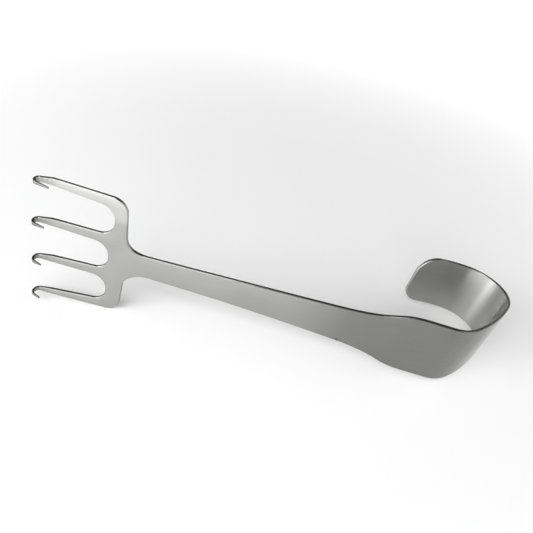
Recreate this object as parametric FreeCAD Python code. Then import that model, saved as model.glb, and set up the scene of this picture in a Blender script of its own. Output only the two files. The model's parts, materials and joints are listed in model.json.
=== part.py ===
import FreeCAD, Part
import math
import os
from FreeCAD import Placement, Rotation, Vector

# Handheld rake retractor, cut from one sheet of stainless steel and bent.
# While it is drawn, the plate lies flat with its front face at Z = 0.
# The origin is on the middle line at the back edge of the rake, +X runs to the grip,
# +Y across the plate, +Z out of the face that the prongs curl towards.
# Sizes are in millimetres and angles in degrees. A side is 1 towards +Y and -1 towards -Y.

# Sheet
THICKNESS = 1.5
EDGE_BREAK = 0.3              # flat that breaks every edge

# Rake: four prongs on a crossbar, numbered 0 to 3 from +Y to -Y
PRONG_PITCH = 17.92           # between the middle lines of neighbouring prongs, at their roots
OUTER_PRONG_WIDTH = 5.35      # at the roots
INNER_PRONG_WIDTH = 5.2
OUTER_PRONG_TAPER = 0.075     # width lost for each millimetre of length
INNER_PRONG_TAPER = 0.055
OUTER_PRONG_SPLAY = 0.063     # sideways lean of the middle line, outwards
INNER_PRONG_SPLAY = 0.022
GAP_DEPTHS = (5.2, 7.0, 7.4)  # floor of each gap, forward of the prongs' roots
GAP_CORNER_RADIUS = 6.3
BACK_EDGE_SET = 0.45          # back edge of the rake, behind the prongs' roots, at the neck
BACK_EDGE_SWEEPS = {1: 2.2, -1: 4.3}
RAKE_CORNER_RADIUS = 6.3

# Hooks, one value for each prong
HOOK_STARTS = (34.2, 35.1, 35.3, 35.95)  # where the bend starts, forward of the prongs' roots
HOOK_RADII = (1.5, 1.85, 2.25, 2.4)      # to the middle of the sheet
HOOK_ANGLES = (167, 171, 164, 159)
HOOK_POINTS = (5.5, 3.9, 3.0, 2.8)       # straight length past the bend
HOOK_SIDESTEPS = (0.5, 0.5, 0.45, 0.4)   # how far each hook stands off its prong, towards -Y
HOOK_LEAD = 5.0               # length before the bend over which a prong is ground down
TIP_WIDTH = 0.7
TIP_THICKNESS = 0.5
BEND_SECTIONS = 12

# Handle
NECK_HALF_WIDTH = 5.6
NECK_SWEEP_ALONG = 10.0       # reach of the fillet between handle and rake
NECK_SWEEP_ACROSS = 7.0
NECK_SWEEP_FULLNESS = {1: 0.66, -1: 0.47}   # share of each reach that is spent on its own side
FLARE_START = 91.5
FLARE_END = 124.5
FLARE_START_HALF_WIDTH = 9.25
FLARE_IN_REACH = 23.0         # how long the flare holds its first direction
FLARE_OUT_REACH = 13.0        # and its last
HANDLE_HOLLOW = 0.45          # how far the handle's long sides bow inwards
HANDLE_SET_START = 34.0       # the handle is set back a little by one long easy bend
HANDLE_SET_LENGTH = 30.0
HANDLE_SET_ANGLE = 1.3

# Grip: the plate widens and curls under into an open loop
GRIP_HALF_WIDTH = 15.3
LOOP_START = 135.6
LOOP_BENDS = ((16.2, 39.7), (76.3, 22.8), (15.4, 61.0), (18.8, 50.6), (49.5, 28.1))   # radius, angle
LOOP_END_INSET = 1.45         # from the grip's side to the side of the loop, at its free end
LOOP_CORNER_RADIUS = 9.4
LOOP_NARROWS_FROM = 2.5       # depth below the plate where the loop starts to narrow
LOOP_SIDE_RADIUS = 100.0

REACH = 400.0                 # longer than any part of the retractor
SHARP_TURN = 45.0             # faces that meet at more than this make a sharp edge
SAME_PLACE = 0.0001
SETTLING_TOLERANCE = 0.02     # of the surface points that are tried against the ground
LEVELLING_ROUNDS = 4
STEEPEST_LEAN = 10.0
LEAN_TOLERANCE = 0.01


def line(a, b):
    return Part.LineSegment(a, b).toShape()


def arc(a, middle, b):
    return Part.Arc(a, middle, b).toShape()


def bezier(poles):
    curve = Part.BezierCurve()
    curve.setPoles(poles)
    return curve.toShape()


def closed_wire(edges):
    return Part.Wire(Part.sortEdges(edges)[0])


def heading(angle):
    """Unit vector in the XY plane, at an angle from +X."""
    return Vector(math.cos(math.radians(angle)), math.sin(math.radians(angle)), 0)


def rounded_corner(before, corner, after, radius):
    """Start, middle and end of the arc that rounds one corner of an outline."""
    towards_before = (before - corner).normalize()
    towards_after = (after - corner).normalize()
    half_angle = towards_before.getAngle(towards_after) / 2
    setback = radius / math.tan(half_angle)
    bisector = (towards_before + towards_after).normalize()
    middle = corner + bisector * (radius / math.sin(half_angle) - radius)
    return corner + towards_before * setback, middle, corner + towards_after * setback


def open_outline(points, radii):
    """Edges through the points, with an arc at each inner corner or, where its radius is 0, a sharp one."""
    edges = []
    last = points[0]
    for before, corner, after, radius in zip(points, points[1:], points[2:], radii):
        if radius:
            start, middle, end = rounded_corner(before, corner, after, radius)
            edges += [line(last, start), arc(start, middle, end)]
            last = end
        else:
            edges.append(line(last, corner))
            last = corner
    edges.append(line(last, points[-1]))
    return edges


def is_outer(number):
    return number in (0, len(HOOK_STARTS) - 1)


def prong_middle(number, x):
    """Y of a prong's middle line, which splays outwards from its root."""
    root = ((len(HOOK_STARTS) - 1) / 2 - number) * PRONG_PITCH
    splay = OUTER_PRONG_SPLAY if is_outer(number) else INNER_PRONG_SPLAY
    return root - math.copysign(splay, root) * x


def prong_width(number, x):
    if is_outer(number):
        return OUTER_PRONG_WIDTH + OUTER_PRONG_TAPER * x
    return INNER_PRONG_WIDTH + INNER_PRONG_TAPER * x


def prong_side(number, x, side):
    return Vector(x, prong_middle(number, x) + side * prong_width(number, x) / 2, 0)


def prong_end(number):
    """X where a prong stops being flat plate and starts to be ground down."""
    return HOOK_LEAD - HOOK_STARTS[number]


def back_edge_point(side, half_width):
    """Point on the back edge of the rake, whose arms sweep towards the prongs."""
    inset = (half_width - NECK_HALF_WIDTH) * math.tan(math.radians(BACK_EDGE_SWEEPS[side]))
    return Vector(BACK_EDGE_SET - inset, side * half_width, 0)


def neck_point(side):
    """Where the back edge of the rake runs into the fillet of the neck."""
    return back_edge_point(side, NECK_HALF_WIDTH + NECK_SWEEP_ACROSS)


def rake_corner(side):
    outermost = prong_side(0 if side > 0 else len(HOOK_STARTS) - 1, 0, side)
    return back_edge_point(side, abs(outermost.y))


def rake_outline():
    """Edges from the neck at +Y, round the four prongs, to the neck at -Y."""
    points = [neck_point(1), rake_corner(1)]
    radii = [RAKE_CORNER_RADIUS]
    for number in range(len(HOOK_STARTS)):
        if number:
            floor = -GAP_DEPTHS[number - 1]
            points += [prong_side(number - 1, floor, -1), prong_side(number, floor, 1)]
            radii += [GAP_CORNER_RADIUS, GAP_CORNER_RADIUS]
        points += [prong_side(number, prong_end(number), side) for side in (1, -1)]
        radii += [0, 0]
    points += [rake_corner(-1), neck_point(-1)]
    radii.append(RAKE_CORNER_RADIUS)
    return open_outline(points, radii)


def neck_fillet(side, neck_end, end_angle):
    """Curve from the back edge of the rake into the handle's +Y side, then flipped to its side."""
    fullness = NECK_SWEEP_FULLNESS[side]
    start = neck_point(side)
    start.y = abs(start.y)
    along_rake = heading(90 + BACK_EDGE_SWEEPS[side]) * (NECK_SWEEP_ACROSS * fullness)
    along_handle = heading(end_angle) * (NECK_SWEEP_ALONG * fullness)
    return [start, start - along_rake, neck_end - along_handle, neck_end]


def handle_side(side):
    """Edges of one long side, from the back edge of the rake to the end of the flare."""
    def placed(points):
        return [Vector(point.x, side * point.y, 0) for point in points]

    neck_end = Vector(NECK_SWEEP_ALONG, NECK_HALF_WIDTH, 0)
    flare_start = Vector(FLARE_START, FLARE_START_HALF_WIDTH, 0)
    flare_end = Vector(FLARE_END, GRIP_HALF_WIDTH, 0)
    chord = flare_start - neck_end
    chord_angle = math.degrees(math.atan2(chord.y, chord.x))
    half_turn = 2 * math.degrees(math.atan(2 * HANDLE_HOLLOW / chord.Length))
    middle = neck_end + chord * 0.5 - heading(chord_angle + 90) * HANDLE_HOLLOW
    flare_in = flare_start + heading(chord_angle + half_turn) * FLARE_IN_REACH
    flare_out = flare_end - Vector(FLARE_OUT_REACH, 0, 0)
    return [
        bezier(placed(neck_fillet(side, neck_end, chord_angle - half_turn))),
        arc(*placed([neck_end, middle, flare_start])),
        bezier(placed([flare_start, flare_in, flare_out, flare_end])),
    ]


def front_outline():
    """Closed outline of the plate seen from the front; the grip runs on past the loop."""
    ends = [Vector(FLARE_END, side * GRIP_HALF_WIDTH, 0) for side in (1, -1)]
    far_ends = [Vector(REACH, end.y, 0) for end in ends]
    beyond = open_outline([ends[0], far_ends[0], far_ends[1], ends[1]], [0, 0])
    return closed_wire(rake_outline() + handle_side(1) + handle_side(-1) + beyond)


def side_stretches():
    """Length and turn of each stretch of the side profile; a straight one turns by 0."""
    flat = HANDLE_SET_START - min(prong_end(number) for number in range(len(HOOK_STARTS)))
    stretches = [(flat, 0), (HANDLE_SET_LENGTH, -HANDLE_SET_ANGLE)]
    stretches.append((LOOP_START - HANDLE_SET_START - HANDLE_SET_LENGTH, 0))
    return stretches + [(radius * math.radians(angle), angle) for radius, angle in LOOP_BENDS]


def downward_heading(angle):
    """Unit vector in the XZ plane, at an angle from +X towards -Z."""
    return Vector(math.cos(math.radians(angle)), 0, -math.sin(math.radians(angle)))


def chord_of(length, turn):
    """Straight distance between the ends of a bend."""
    if not turn:
        return length
    radius = length / math.radians(turn)
    return 2 * radius * math.sin(math.radians(turn) / 2)


def side_profile():
    """Closed profile of the sheet seen from the side, in the XZ plane."""
    start = Vector(min(prong_end(number) for number in range(len(HOOK_STARTS))), 0, 0)
    point = start
    angle = 0.0
    front = []
    back = []
    for length, turn in side_stretches():
        middle = point + downward_heading(angle + turn / 4) * chord_of(length / 2, turn / 2)
        end = point + downward_heading(angle + turn / 2) * chord_of(length, turn)
        face = [point, middle, end]
        turns = [angle, angle + turn / 2, angle + turn]
        under = [p - downward_heading(a - 90) * THICKNESS for p, a in zip(face, turns)]
        if turn:
            front.append(arc(*face))
            back.append(arc(*under))
        else:
            front.append(line(point, end))
            back.append(line(under[0], under[-1]))
        point = end
        angle += turn
    butt = line(start, start - Vector(0, 0, THICKNESS))
    free_end = line(point, under[-1])
    return closed_wire(front + back + [butt, free_end])


def sheet():
    """The whole sheet, bent, before its hooks are added."""
    strip = Part.Face(side_profile()).extrude(Vector(0, 2 * REACH, 0))
    strip.translate(Vector(0, -REACH, 0))
    front = Part.Face(front_outline()).extrude(Vector(0, 0, 2 * REACH))
    front.translate(Vector(0, 0, -REACH))
    return strip.common(front)


def narrow_loop(plate):
    """Narrow the loop towards its end, its sides leaving the grip's sides in an easy curve."""
    top = Vector(0, GRIP_HALF_WIDTH, 0)
    corner = Vector(0, GRIP_HALF_WIDTH, -LOOP_NARROWS_FROM)
    bottom = Vector(0, GRIP_HALF_WIDTH - LOOP_END_INSET, plate.BoundBox.ZMin)
    below = bottom + (bottom - corner)
    far_below = Vector(0, REACH, below.z)
    far_top = Vector(0, REACH, 0)
    edges = open_outline([top, corner, below, far_below, far_top, top], [LOOP_SIDE_RADIUS, 0, 0, 0])
    waste = Part.Face(closed_wire(edges)).extrude(Vector(REACH, 0, 0))
    waste.translate(Vector(FLARE_END, 0, 0))
    other_waste = waste.mirror(Vector(0, 0, 0), Vector(0, 1, 0))
    return plate.cut(waste).cut(other_waste)


def face_normal(face, point):
    u, v = face.Surface.parameter(point)
    return face.normalAt(u, v)


def largest_solid(shape):
    return max(shape.Solids, key=lambda solid: solid.Volume)


def sharp_edges(shape):
    found = []
    for edge in shape.Edges:
        middle = edge.valueAt((edge.FirstParameter + edge.LastParameter) / 2)
        faces = shape.ancestorsOfType(edge, Part.Face)
        if len(faces) == 2:
            turn = face_normal(faces[0], middle).getAngle(face_normal(faces[1], middle))
            if turn > math.radians(SHARP_TURN):
                found.append(edge)
    return found


def round_loop_corners(plate):
    """Round the two corners at the free end of the loop."""
    through_sheet = [edge for edge in sharp_edges(plate) if edge.Length < 2 * THICKNESS]
    deepest = sorted(through_sheet, key=lambda edge: edge.CenterOfMass.z)[:2]
    return plate.makeFillet(LOOP_CORNER_RADIUS, deepest)


def at_prong_end(edge):
    places = [prong_end(number) for number in range(len(HOOK_STARTS))]
    return any(all(abs(vertex.X - x) < SAME_PLACE for vertex in edge.Vertexes) for x in places)


def break_edges(plate):
    """Break every edge but those at the prongs' ends, where the hooks carry on."""
    return plate.makeChamfer(EDGE_BREAK, [edge for edge in sharp_edges(plate) if not at_prong_end(edge)])


def hook_section(centre, inwards, width, depth):
    """Closed wire of one section through a hook, with its four edges broken."""
    across = Vector(0, 1, 0)
    broken = EDGE_BREAK * depth / THICKNESS
    half_width = width / 2
    half_depth = depth / 2
    quarter = [(half_width, half_depth - broken), (half_width - broken, half_depth)]
    half = quarter + [(-u, v) for u, v in reversed(quarter)]
    whole = half + [(-u, -v) for u, v in half]
    points = [centre + across * u + inwards * v for u, v in whole]
    return Part.makePolygon(points + points[:1])


def hook_stations(bend_length, point_length):
    """Distances from the prong's end at which a hook's sections stand."""
    steps = [bend_length * step / BEND_SECTIONS for step in range(BEND_SECTIONS + 1)]
    return [0] + [HOOK_LEAD + step for step in steps] + [HOOK_LEAD + bend_length + point_length]


def hook(number):
    """One prong's end: ground down, bent round on itself and drawn to a point."""
    start = HOOK_STARTS[number]
    radius = HOOK_RADII[number]
    bend = math.radians(HOOK_ANGLES[number])
    width = prong_width(number, prong_end(number))
    middle = prong_middle(number, prong_end(number))
    stations = hook_stations(radius * bend, HOOK_POINTS[number])
    sections = []
    for travelled in stations:
        past_lead = travelled - HOOK_LEAD
        turn = min(max(past_lead / radius, 0), bend)
        straight = past_lead - radius * turn
        share = travelled / stations[-1]
        x = -start - radius * math.sin(turn) - straight * math.cos(turn)
        y = middle - HOOK_SIDESTEPS[number] * min(travelled / HOOK_LEAD, 1)
        z = -THICKNESS / 2 + radius * (1 - math.cos(turn)) + straight * math.sin(turn)
        inwards = Vector(math.sin(turn), 0, math.cos(turn))
        section_width = width + (TIP_WIDTH - width) * share
        section_depth = THICKNESS + (TIP_THICKNESS - THICKNESS) * share
        sections.append(hook_section(Vector(x, y, z), inwards, section_width, section_depth))
    return Part.makeLoft(sections, True, True)


def lowest(points, up):
    return min(points, key=lambda point: point.dot(up))


def level_on_two_feet(rake, loop, lean):
    """Up direction that leans by an angle and puts the lowest points of rake and loop level."""
    up = Vector(0, math.cos(math.radians(lean)), math.sin(math.radians(lean)))
    for _ in range(LEVELLING_ROUNDS):
        foot = lowest(rake, up)
        span = lowest(loop, up) - foot
        up = (up - Vector(1, 0, 0) * (span.dot(up) / span.x)).normalize()
    return up, foot, span


def resting_rotation(shape):
    """Turn from the drawing frame to where the retractor rests on its lower long edge.

    It stands on a corner of the rake and the rim of the loop, with its middle of mass over
    the line between them.
    """
    points = shape.tessellate(SETTLING_TOLERANCE)[0]
    rake = [point for point in points if point.x < 0]
    loop = [point for point in points if point.x > FLARE_END]
    least = -STEEPEST_LEAN
    most = STEEPEST_LEAN
    while most - least > LEAN_TOLERANCE:
        lean = (least + most) / 2
        up, foot, span = level_on_two_feet(rake, loop, lean)
        if span.cross(up).dot(shape.CenterOfMass - foot) > 0:
            most = lean
        else:
            least = lean
    return Rotation(Vector(1, 0, 0), Vector(), up, "ZXY").inverted()


def retractor():
    """The finished retractor, while it still lies flat."""
    plate = break_edges(round_loop_corners(largest_solid(narrow_loop(sheet()))))
    return largest_solid(plate.fuse([hook(number) for number in range(len(HOOK_STARTS))]))


def resting_placement(shape):
    """Placement that rests the retractor on Z = 0 with the middle of its outer box over the origin."""
    rotation = resting_rotation(shape)
    turned = shape.transformed(Placement(Vector(), rotation).toMatrix())
    box = turned.optimalBoundingBox(False, False)
    return Placement(Vector(-box.Center.x, -box.Center.y, -box.ZMin), rotation)


def main():
    os.makedirs("parts", exist_ok=True)
    flat = retractor()
    rested = flat.transformed(resting_placement(flat).toMatrix())
    rested.exportStep("parts/retractor.step")


main()
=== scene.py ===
# %% [markdown]
# A hand-held rake retractor, dressed for its photograph. It is one sheet of stainless steel,
# cut, bent and satin finished, so nearly all of its look is metal: how the finish spreads a
# reflection, how the broken edges catch the light, and what there is around it to reflect.
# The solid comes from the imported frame. This lesson gives it its surface, a floor, soft light
# and a camera where the photographer stood.

# %% Load the frame
import json
import math

import bpy
from mathutils import Matrix, Vector

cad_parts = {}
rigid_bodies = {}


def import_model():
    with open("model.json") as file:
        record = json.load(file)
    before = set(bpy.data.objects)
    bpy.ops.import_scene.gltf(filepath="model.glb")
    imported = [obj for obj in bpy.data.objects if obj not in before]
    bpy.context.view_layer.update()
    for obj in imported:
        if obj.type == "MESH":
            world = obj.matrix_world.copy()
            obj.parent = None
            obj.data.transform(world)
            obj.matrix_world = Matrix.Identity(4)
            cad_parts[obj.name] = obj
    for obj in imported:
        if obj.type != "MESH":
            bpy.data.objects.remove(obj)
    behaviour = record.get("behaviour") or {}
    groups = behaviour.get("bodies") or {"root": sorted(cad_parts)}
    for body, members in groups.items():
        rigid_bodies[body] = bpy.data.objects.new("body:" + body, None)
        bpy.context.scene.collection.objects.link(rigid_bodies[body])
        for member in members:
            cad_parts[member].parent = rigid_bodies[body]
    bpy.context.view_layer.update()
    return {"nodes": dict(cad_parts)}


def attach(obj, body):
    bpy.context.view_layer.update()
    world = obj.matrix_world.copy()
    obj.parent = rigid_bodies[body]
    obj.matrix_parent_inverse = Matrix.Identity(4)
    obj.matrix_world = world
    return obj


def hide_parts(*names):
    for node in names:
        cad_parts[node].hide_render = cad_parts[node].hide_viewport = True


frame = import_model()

steel_blank = frame["nodes"]["retractor"]
for thing in bpy.context.scene.objects:
    thing.select_set(False)

# %% [markdown]
# The eye reads metal by its edges. On the retractor in the photograph every edge looks broken
# and polished, so it catches a thin bright or dark line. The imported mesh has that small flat, but
# its facets meet sharply. A copy of it is merged into one skin, its sharp edges get a fine
# bevel, and then the flat faces keep their flat shading while the bends and the edges shade
# smoothly. Painting the lines in a texture would be quicker, but they wouldn't move with the
# light.

# %% Make the polished skin
MERGE_DISTANCE = 0.000002
EDGE_BEVEL = 0.00011
BEVEL_STEPS = 2
SHARP_ANGLE = math.radians(30)
SMOOTH_ANGLE = math.radians(38)

skin = steel_blank.copy()
skin.data = steel_blank.data.copy()
skin.name = "retractor_skin"
skin.data.name = "retractor_skin"
bpy.context.scene.collection.objects.link(skin)
skin.parent = None
skin.matrix_world = Matrix.Identity(4)
bpy.context.view_layer.objects.active = skin
skin.select_set(True)

bpy.ops.object.mode_set(mode="EDIT")
bpy.ops.mesh.select_all(action="SELECT")
bpy.ops.mesh.remove_doubles(threshold=MERGE_DISTANCE)
bpy.ops.mesh.normals_make_consistent(inside=False)
bpy.ops.object.mode_set(mode="OBJECT")
print("The merged skin has", len(skin.data.vertices), "corners and", len(skin.data.polygons), "facets")

# %% Round the broken edges
bevel = skin.modifiers.new("edge_polish", "BEVEL")
bevel.width = EDGE_BEVEL
bevel.segments = BEVEL_STEPS
bevel.limit_method = "ANGLE"
bevel.angle_limit = SHARP_ANGLE
bevel.use_clamp_overlap = True
bpy.ops.object.modifier_apply(modifier=bevel.name)
bpy.ops.object.shade_smooth_by_angle(angle=SMOOTH_ANGLE)
skin.select_set(False)
print("With its edges polished it has", len(skin.data.polygons), "facets")

# %% [markdown]
# The retractor stands on its long edge, a little turned, so the handle isn't quite level. The
# patterns of the finish follow the plate and not the room. These three directions are those of
# the plate: along the handle, across it, and out of its front face. A Mapping node with this
# turn and this place gives every pattern the plate's own coordinates, in metres, with zero
# near the place where the handle leaves the rake.

# %% Measure along the plate
ALONG = Vector((0.99581, 0.0, -0.09142))
ACROSS = Vector((0.09138, -0.03050, 0.99535))
OUTWARDS = ALONG.cross(ACROSS)
PLATE_ORIGIN = Vector((-0.063349, -0.022527, 0.028929))
PLATE_AXES = Matrix((ALONG, ACROSS, OUTWARDS))
PLATE_TURN = PLATE_AXES.to_euler()
PLATE_PLACE = -(PLATE_AXES @ PLATE_ORIGIN)
print("The plate's turn, in degrees:", [round(math.degrees(turn), 2) for turn in PLATE_TURN])

# %% [markdown]
# Shader nodes are easier to read when the small jobs have names. These helpers add a node, do
# one sum, fade between two values over a distance, and mix two numbers. A fade is a Map Range
# node with smooth steps, which needs no colour ramp and keeps its ends in plain numbers.

# %% Name the small shader jobs
def node(tree, kind, place, **values):
    """Add a shader node, set its inputs by name, and return it."""
    made = tree.nodes.new(kind)
    made.location = place
    for name, value in values.items():
        made.inputs[name.replace("_", " ")].default_value = value
    return made


def sum_node(tree, operation, place, first, second):
    """One sum on two sockets or numbers, as a socket."""
    made = node(tree, "ShaderNodeMath", place)
    made.operation = operation
    for socket, value in zip(made.inputs, (first, second)):
        if isinstance(value, (int, float)):
            socket.default_value = value
        else:
            tree.links.new(value, socket)
    return made.outputs[0]


def fade(tree, place, value, span, ends):
    """A smooth fade between two numbers while a value crosses a span, as a socket."""
    made = node(tree, "ShaderNodeMapRange", place)
    made.interpolation_type = "SMOOTHSTEP"
    for name, number in zip(("From Min", "From Max", "To Min", "To Max"), (*span, *ends)):
        made.inputs[name].default_value = number
    tree.links.new(value, made.inputs["Value"])
    return made.outputs[0]


def mix_numbers(tree, place, share, first, second):
    """Two numbers mixed by a share, as a socket."""
    made = node(tree, "ShaderNodeMix", place)
    tree.links.new(share, made.inputs[0])
    tree.links.new(first, made.inputs[2])
    tree.links.new(second, made.inputs[3])
    return made.outputs[0]


print("Helpers ready: node, sum_node, fade, mix_numbers")

# %% [markdown]
# In the photograph the steel isn't one even grey: the grip is darker than the handle, and the
# loop and the upper prong are paler, and the hooks' points look dark. The lamps below give part
# of that. The rest is painted into the steel's own tone: painted shade on the grip and the
# hooks' points, and painted light on the loop and the upper prong. One picture can't tell how much
# of the rest is light and how much is finish, so the steel's own tone makes up the difference. The
# price is that the loop also looks paler from behind. The numbers were tuned until the render's
# greys came near the photograph's, so they aren't measured steel, and all are darker than bare
# steel usually is. Each change is a slow fade along, across or out of the plate, because a hard
# edge would read as paint.

# %% Set the tones of the steel, with its painted shade and painted light
HANDLE_TONE = 0.325
# Painted shade: the grip's darker tone.
GRIP_PAINTED_SHADE_TONE = 0.255
# Painted light: the loop's paler tone.
LOOP_PAINTED_LIGHT_TONE = 0.46
STEEL_TINT = (1.0, 1.0, 0.986)
GRIP_SHADE_FADE = (0.070, 0.098)
LOOP_LIGHT_FADE = (0.0015, 0.014)
UPPER_PRONG_HIGHLIGHT_FADE = (0.017, 0.022)
# Painted highlight: the upper prong's tone is raised by this share.
UPPER_PRONG_PAINTED_HIGHLIGHT = 1.35
# Painted shade: the hooks' points are darkened to this share.
HOOK_SHADE = 0.55
HOOK_SHADE_FADE = (0.0002, 0.0015)
RAKE_END = (-0.010, 0.0)


def steel_tone_and_painted_light(tree, plate):
    """The steel's tone over the plate, with painted shade on the grip and the hooks' points and
    painted light on the loop and the upper prong, as a socket.
    """
    # The handle's tone fades to the grip's painted shade.
    grip_shaded_tone = fade(tree, (-1100, 300), plate["along"], GRIP_SHADE_FADE, (HANDLE_TONE, GRIP_PAINTED_SHADE_TONE))
    in_loop = fade(tree, (-1100, 0), plate["behind"], LOOP_LIGHT_FADE, (0.0, 1.0))
    # The loop's tone is painted light.
    loop = node(tree, "ShaderNodeValue", (-1100, -200))
    loop.outputs[0].default_value = LOOP_PAINTED_LIGHT_TONE
    tone = mix_numbers(tree, (-900, 200), in_loop, grip_shaded_tone, loop.outputs[0])
    # A painted highlight lifts the upper prong.
    prong_highlight = fade(tree, (-1100, -350), plate["across"], UPPER_PRONG_HIGHLIGHT_FADE, (1.0, UPPER_PRONG_PAINTED_HIGHLIGHT))
    highlighted_tone = sum_node(tree, "MULTIPLY", (-700, 200), tone, prong_highlight)
    # Painted shade on the hooks' points, in front of the plate out at the rake.
    in_front = fade(tree, (-1100, -500), plate["in front"], HOOK_SHADE_FADE, (0.0, 1.0))
    in_rake = fade(tree, (-1100, -600), plate["along"], RAKE_END, (1.0, 0.0))
    in_hook = sum_node(tree, "MULTIPLY", (-900, -500), in_front, in_rake)
    shade = fade(tree, (-700, -500), in_hook, (0.0, 1.0), (1.0, HOOK_SHADE))
    return sum_node(tree, "MULTIPLY", (-600, 200), highlighted_tone, shade)


print("Tones of the steel:", HANDLE_TONE, "on the handle,", GRIP_PAINTED_SHADE_TONE, "on the grip and",
      LOOP_PAINTED_LIGHT_TONE, "in the loop")

# %% [markdown]
# Satin steel has a brushed grain. Each scratch runs along the strip, and also round the loop, so
# the noise that draws it is squeezed across the strip and stretched in the other two directions.
# A second, slow noise gives a faint cloud, such as handling leaves. Both stay within a tenth:
# in the photograph the grain is hardly seen. An image of brushed metal would smear round the
# loop, and noise on the plate's coordinates doesn't.

# %% Draw the grain and the cloud
GRAIN_STRETCH = (45, 2600, 45)
GRAIN_TONE = 0.10
GRAIN_ROUGHNESS = 0.07
CLOUD_SCALE = 42
CLOUD_TONE = 0.10


def noise_of(tree, place, coordinates, stretch, detail):
    """Noise over stretched coordinates, as a socket."""
    stretched = node(tree, "ShaderNodeVectorMath", place)
    stretched.operation = "MULTIPLY"
    stretched.inputs[1].default_value = stretch
    tree.links.new(coordinates, stretched.inputs[0])
    noise = node(tree, "ShaderNodeTexNoise", (place[0] + 200, place[1]), Scale=1.0, Detail=detail)
    tree.links.new(stretched.outputs[0], noise.inputs["Vector"])
    return noise.outputs[0]


def around_one(tree, place, noise, swing):
    """Noise turned into a factor round one, as a socket."""
    made = node(tree, "ShaderNodeMapRange", place)
    made.inputs["To Min"].default_value = 1.0 - swing
    made.inputs["To Max"].default_value = 1.0 + swing
    tree.links.new(noise, made.inputs["Value"])
    return made.outputs[0]


print("Grain", round(1000 / GRAIN_STRETCH[1], 2), "mm fine across the strip and",
      round(1000 / GRAIN_STRETCH[0]), "mm long")

# %% [markdown]
# The handle has one small nick on its lower front edge, a dark dot about half a millimetre
# across, and no other damage is clear in the photograph. A dent in the mesh would be smaller
# than a facet, so a round mask darkens and dulls the steel there.

# %% Place the nick
NICK_PLACE = (0.0291, -0.0233, 0.0120)
NICK_RADII = (0.00030, 0.00062)
NICK_TONE = 0.3
NICK_ROUGHNESS = 0.7


def nick_mask(tree, place, where):
    """One at the nick and zero elsewhere, as a socket."""
    distance = node(tree, "ShaderNodeVectorMath", place)
    distance.operation = "DISTANCE"
    distance.inputs[1].default_value = NICK_PLACE
    tree.links.new(where, distance.inputs[0])
    return fade(tree, (place[0] + 200, place[1]), distance.outputs["Value"], NICK_RADII, (1.0, 0.0))


print("The nick is at", [round(1000 * length, 1) for length in NICK_PLACE], "mm")

# %% [markdown]
# The cut edges of the strip look smoother and darker than its faces. They show the dark room
# above as thin dark lines, and a rougher finish would blur those into grey. Their colour is also
# darkened, a painted shade that deepens those lines. The edges are found by their normals: on an
# edge the normal points across the strip.

# %% Find the polished edges
EDGE_SLOPE = (0.45, 0.75)
FACE_ROUGHNESS = 0.36
EDGE_ROUGHNESS = 0.2
# Painted shade: the edges' colour is darkened to this share.
EDGE_SHADE = 0.55


def edge_mask(tree, place, normal):
    """One on the cut edges of the strip and zero on its faces, as a socket."""
    slope = node(tree, "ShaderNodeVectorMath", place)
    slope.operation = "DOT_PRODUCT"
    slope.inputs[1].default_value = ACROSS
    tree.links.new(normal, slope.inputs[0])
    steepness = sum_node(tree, "ABSOLUTE", (place[0] + 200, place[1]), slope.outputs["Value"], 0.0)
    return fade(tree, (place[0] + 400, place[1]), steepness, EDGE_SLOPE, (0.0, 1.0))


print("Edge roughness", EDGE_ROUGHNESS, "and face roughness", FACE_ROUGHNESS)

# %% [markdown]
# Light is thrown wide across the grain and hardly at all along it. That is why the loop shows a
# pale band across the strip where it faces the big lamp, and why the handle darkens towards the
# grip, where the lamp ends. An anisotropic reflection does that with one setting and a tangent.
# The tangent points across the strip, with a small share outwards so that it never vanishes on
# an edge. The Principled shader's plain numbers are set on the shader itself.

# %% Mix the satin steel
GRAIN_SPREAD = 0.95
TANGENT_LEAN = 0.05


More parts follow.
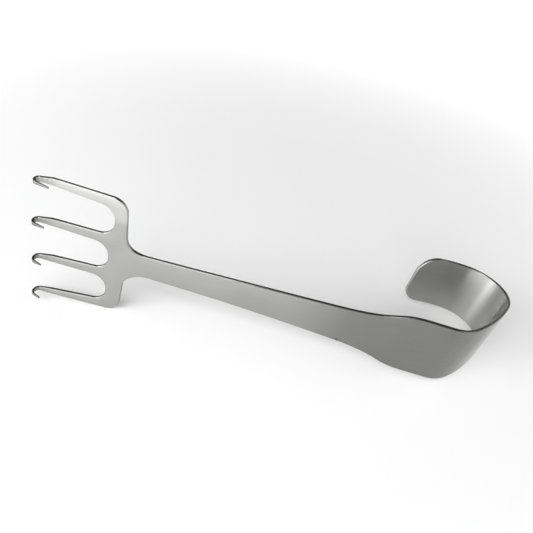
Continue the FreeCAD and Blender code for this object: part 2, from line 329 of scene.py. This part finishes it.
def satin_steel():
    """Satin stainless steel with its grain along the strip."""
    material = bpy.data.materials.new("satin_steel")
    material.use_nodes = True
    tree = material.node_tree
    shader = tree.nodes["Principled BSDF"]
    shader.inputs["Metallic"].default_value = 1.0
    shader.inputs["Anisotropic"].default_value = GRAIN_SPREAD
    spread = node(tree, "ShaderNodeVectorTransform", (-300, -600))
    spread.vector_type = "VECTOR"
    spread.convert_from = "OBJECT"
    spread.convert_to = "WORLD"
    spread.inputs[0].default_value = ACROSS + OUTWARDS * TANGENT_LEAN
    tree.links.new(spread.outputs[0], shader.inputs["Tangent"])

    where = node(tree, "ShaderNodeTexCoord", (-1900, 0))
    turned = node(tree, "ShaderNodeMapping", (-1700, 0), Rotation=PLATE_TURN, Location=PLATE_PLACE)
    tree.links.new(where.outputs["Object"], turned.inputs["Vector"])
    parts = node(tree, "ShaderNodeSeparateXYZ", (-1500, 0))
    tree.links.new(turned.outputs[0], parts.inputs[0])
    behind = sum_node(tree, "MULTIPLY", (-1300, -100), parts.outputs["Z"], -1.0)
    plate = {"along": parts.outputs["X"], "across": parts.outputs["Y"], "behind": behind,
             "in front": parts.outputs["Z"]}

    grain = noise_of(tree, (-1300, -900), turned.outputs[0], GRAIN_STRETCH, 2.0)
    cloud = noise_of(tree, (-1300, -1100), turned.outputs[0], (CLOUD_SCALE,) * 3, 1.0)
    nick = nick_mask(tree, (-1300, -1300), where.outputs["Object"])
    edge = edge_mask(tree, (-1300, -600), where.outputs["Normal"])

    tone = steel_tone_and_painted_light(tree, plate)
    # Grain and cloud vary the tone, the edges get their painted shade, and the nick darkens it.
    for place, factor in ((-500, around_one(tree, (-800, -900), grain, GRAIN_TONE)),
                          (-400, around_one(tree, (-800, -1100), cloud, CLOUD_TONE)),
                          (-350, fade(tree, (-800, -600), edge, (0.0, 1.0), (1.0, EDGE_SHADE))),
                          (-300, fade(tree, (-800, -1300), nick, (0.0, 1.0), (1.0, NICK_TONE)))):
        tone = sum_node(tree, "MULTIPLY", (place, 200), tone, factor)
    colour = node(tree, "ShaderNodeVectorMath", (-200, 200))
    colour.operation = "SCALE"
    colour.inputs[0].default_value = STEEL_TINT
    tree.links.new(tone, colour.inputs["Scale"])
    tree.links.new(colour.outputs[0], shader.inputs["Base Color"])

    smoothness = fade(tree, (-700, -600), edge, (0.0, 1.0), (FACE_ROUGHNESS, EDGE_ROUGHNESS))
    grained = around_one(tree, (-600, -900), grain, GRAIN_ROUGHNESS)
    roughness = sum_node(tree, "MULTIPLY", (-400, -700), smoothness, grained)
    dulled = sum_node(tree, "MAXIMUM", (-200, -700), roughness,
                      sum_node(tree, "MULTIPLY", (-400, -1300), nick, NICK_ROUGHNESS))
    tree.links.new(dulled, shader.inputs["Roughness"])
    return material


steel = satin_steel()
print("The satin steel has", len(steel.node_tree.nodes), "nodes")

# %% [markdown]
# The skin takes the place of the imported solid, so it rides on the same body. The solid under
# it gets the same steel, in case a viewer shows it.

# %% Dress the retractor
for thing in (skin, steel_blank):
    thing.data.materials.clear()
    thing.data.materials.append(steel)

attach(skin, "root")
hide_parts("retractor")
print("Dressed", skin.name, "in", steel.name)

# %% [markdown]
# The floor is plain and pale. Near the retractor it is white paint that keeps the soft shadow.
# Farther out the lamps fall away, and the paper sweep of a real studio would be lit on its own.
# Here the floor glows, a little near the retractor and more with distance. Only rays from the
# camera, a mirror or glass see the glow. So the metal shows it as it shows the floor, and it adds
# no light to the shadow.

# %% Lay the floor
FLOOR_SIZE = 6.0
FLOOR_TONE = 0.9
FLOOR_ROUGHNESS = 0.9
GLOW_REACH = (0.08, 0.9)
GLOW_ENDS = (0.03, 0.9)


def white_floor():
    """White paint that glows more with distance, for camera, mirror and glass rays alone."""
    paint = bpy.data.materials.new("floor_paint")
    paint.use_nodes = True
    tree = paint.node_tree
    shader = tree.nodes["Principled BSDF"]
    shader.inputs["Base Color"].default_value = (FLOOR_TONE, FLOOR_TONE, FLOOR_TONE, 1.0)
    shader.inputs["Roughness"].default_value = FLOOR_ROUGHNESS
    shader.inputs["Emission Color"].default_value = (1.0, 1.0, 1.0, 1.0)
    ray = node(tree, "ShaderNodeLightPath", (-900, -300))
    mirrored = sum_node(tree, "MAXIMUM", (-700, -300), ray.outputs["Is Camera Ray"],
                        ray.outputs["Is Glossy Ray"])
    looked_at = sum_node(tree, "MAXIMUM", (-500, -300), mirrored, ray.outputs["Is Transmission Ray"])
    where = node(tree, "ShaderNodeTexCoord", (-1100, -600))
    distance = node(tree, "ShaderNodeVectorMath", (-900, -600))
    distance.operation = "LENGTH"
    tree.links.new(where.outputs["Object"], distance.inputs[0])
    glow = fade(tree, (-700, -600), distance.outputs["Value"], GLOW_REACH, GLOW_ENDS)
    strength = sum_node(tree, "MULTIPLY", (-300, -400), looked_at, glow)
    tree.links.new(strength, shader.inputs["Emission Strength"])
    return paint


bpy.ops.mesh.primitive_plane_add(size=FLOOR_SIZE, location=(0, 0, 0))
floor = bpy.context.active_object
floor.name = "floor"
floor.data.materials.append(white_floor())
floor.select_set(False)
print("A floor of", FLOOR_SIZE, "m")

# %% [markdown]
# Metal shows its room. Low down, the room round the retractor is pale, and higher up it is dark,
# so the top edges draw dark lines against the white floor. The world does that with the height
# of each direction and two greys. A flat white world would wash the edges out.

# %% Paint the room
LOW_HEIGHT, LOW_GREY = 0.2, 1.0
HIGH_HEIGHT, HIGH_GREY = 0.42, 0.15

world = bpy.data.worlds.new("studio")
bpy.context.scene.world = world
world.use_nodes = True
room = world.node_tree
direction = node(room, "ShaderNodeTexCoord", (-900, 0))
height = node(room, "ShaderNodeSeparateXYZ", (-700, 0))
room.links.new(direction.outputs["Generated"], height.inputs[0])
grey = fade(room, (-500, 0), height.outputs["Z"], (LOW_HEIGHT, HIGH_HEIGHT), (LOW_GREY, HIGH_GREY))
room.links.new(grey, room.nodes["Background"].inputs["Color"])
room.nodes["Background"].inputs["Strength"].default_value = 1.0
print("A room of grey", LOW_GREY, "at the floor and", HIGH_GREY, "above")

# %% [markdown]
# One big soft lamp stands in front and to the left. It fills the rake and the handle with light
# and stops where the handle widens, so the grip falls away to a darker grey. A weak fill lamp on
# the right opens up the bend and the end of the loop, a narrow bright one makes the small
# sparkle inside the loop, a small high one reaches over the grip into the loop, and a weak one
# overhead softens the shadow. Each is an area lamp, as only those are broad enough for metal.
# A lamp's brightness is its power for each square metre, in steps of about three watts, so a
# lamp can change size and keep its look.

# %% Hang the softboxes
WATTS_AT_ONE = 2.96088
SOFTBOXES = (
    # name, bearing, height, distance, size, brightness
    ("side_softbox", -123.5, 24, 1.0, (1.77, 0.68), 4.0),
    ("loop_softbox", -112, 50, 1.0, (0.5, 0.3), 5.5),
    ("fill_softbox", 0, 32, 1.0, (1.3, 0.6), 1.4),
    ("spark_softbox", -146, 24, 1.0, (0.22, 0.3), 7),
    ("top_softbox", 90, 88, 2.6, (2.0, 2.0), 0.3),
)


def softbox(name, bearing, height, distance, size, brightness):
    """A soft lamp at a bearing and height, in degrees, that faces the retractor."""
    lamp = bpy.data.lights.new(name, "AREA")
    lamp.shape = "RECTANGLE"
    lamp.size, lamp.size_y = size
    lamp.energy = brightness * size[0] * size[1] * WATTS_AT_ONE
    holder = bpy.data.objects.new(name, lamp)
    bpy.context.scene.collection.objects.link(holder)
    flat = math.cos(math.radians(height)) * distance
    place = Vector((flat * math.cos(math.radians(bearing)), flat * math.sin(math.radians(bearing)),
                    math.sin(math.radians(height)) * distance))
    holder.location = place
    holder.rotation_euler = (-place).to_track_quat("-Z", "Y").to_euler()
    holder.visible_camera = False
    print("Hung", name, "of", round(lamp.energy, 2), "W")
    return holder


for softbox_row in SOFTBOXES:
    softbox(*softbox_row)

# %% [markdown]
# The photograph was taken from in front and above, and close to, so what is near is drawn
# larger. The camera's place and turn come from a fit of the retractor's outline to the picture.
# The focal length was held at 500 pixels and is a choice: the outline fits about as well with
# any value from 350 to 600. A guessed place would have to be nudged by eye, and each nudge moves
# all of the picture.

# %% Set up the camera
PICTURE = 533
SENSOR = 36.0
FOCAL_PIXELS = 500.0
PICTURE_CENTRE = (265.15, 264.99)
CAMERA_PLACE = (-0.00444, -0.17878, 0.15964)
CAMERA_TURN = (52.544, -9.022, 7.706)
NEAREST_SEEN = 0.01

camera_data = bpy.data.cameras.new("camera")
camera = bpy.data.objects.new("camera", camera_data)
bpy.context.scene.collection.objects.link(camera)
camera_data.sensor_width = SENSOR
camera_data.lens = SENSOR * FOCAL_PIXELS / PICTURE
camera_data.shift_x = (PICTURE / 2 - PICTURE_CENTRE[0]) / PICTURE
camera_data.shift_y = (PICTURE_CENTRE[1] - PICTURE / 2) / PICTURE
camera_data.clip_start = NEAREST_SEEN
camera.location = CAMERA_PLACE
camera.rotation_euler = [math.radians(turn) for turn in CAMERA_TURN]
bpy.context.scene.camera = camera
print("A camera with a lens of", round(camera_data.lens, 2), "mm, at", CAMERA_PLACE)

# %% [markdown]
# The Standard view shows each colour as it was mixed, so a measured grey can be compared with
# the photograph. The skin may not grow the retractor.

# %% Show plain colours
bpy.context.scene.view_settings.view_transform = "Standard"
